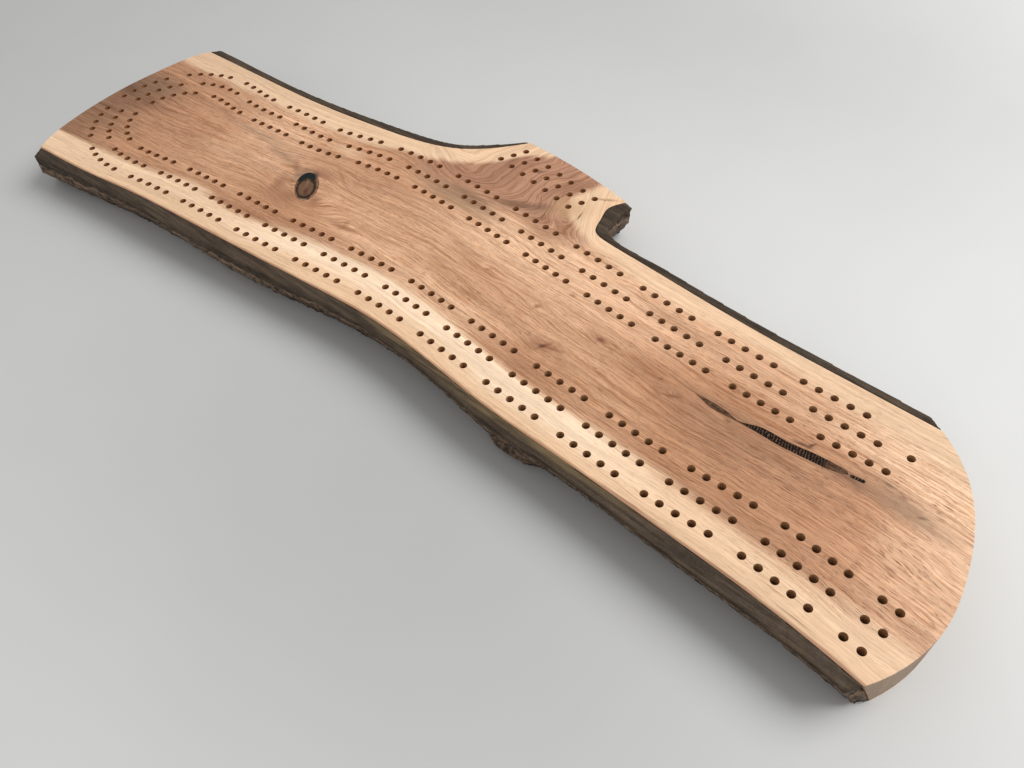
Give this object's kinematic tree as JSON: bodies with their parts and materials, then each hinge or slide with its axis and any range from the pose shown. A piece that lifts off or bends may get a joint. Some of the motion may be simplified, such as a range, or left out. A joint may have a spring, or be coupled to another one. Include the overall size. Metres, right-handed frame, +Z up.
{
  "type": "live-edge cribbage board",
  "caption": "Live-edge wooden cribbage board with three lanes of drilled peg holes, bark left on both long edges, resin-filled knot and crack, and a lidded peg store underneath.",
  "frame": {"origin": "centre of the board's footprint, on the plane that its underside rests on", "axes": "+X along the board towards the start and finish end, +Y across it towards the branch stub, +Z up out of the playing face"},
  "size_m": [0.485, 0.1646, 0.0191],
  "materials": {
    "wood": "satin",
    "bark": "rough",
    "knot_wood": "satin",
    "resin": "satin",
    "lid_wood": "satin",
    "magnet": "satin",
    "peg_brass": "polished",
    "peg_steel": "polished",
    "peg_black": "satin"
  },
  "bodies": {
    "board": {"slab": "wood", "bark_near": "bark", "bark_far_left": "bark", "bark_far_right": "bark", "knot": "knot_wood", "knot_resin": "resin", "crack_resin": "resin", "crack_resin_tail": "resin", "slab_magnet_left": "magnet", "slab_magnet_right": "magnet", "peg_brass_1": "peg_brass", "peg_steel_1": "peg_steel", "peg_black_1": "peg_black", "peg_brass_2": "peg_brass", "peg_steel_2": "peg_steel", "peg_black_2": "peg_black", "peg_brass_3": "peg_brass", "peg_steel_3": "peg_steel", "peg_black_3": "peg_black"},
    "lid": {"store_lid": "lid_wood", "lid_magnet_left": "magnet", "lid_magnet_right": "magnet"}
  },
  "joints": [
    {"name": "store_lid_lift", "type": "slide", "parent": "board", "child": "lid", "axis": [0, 0, -1], "range_m": [0, 0.02]}
  ]
}
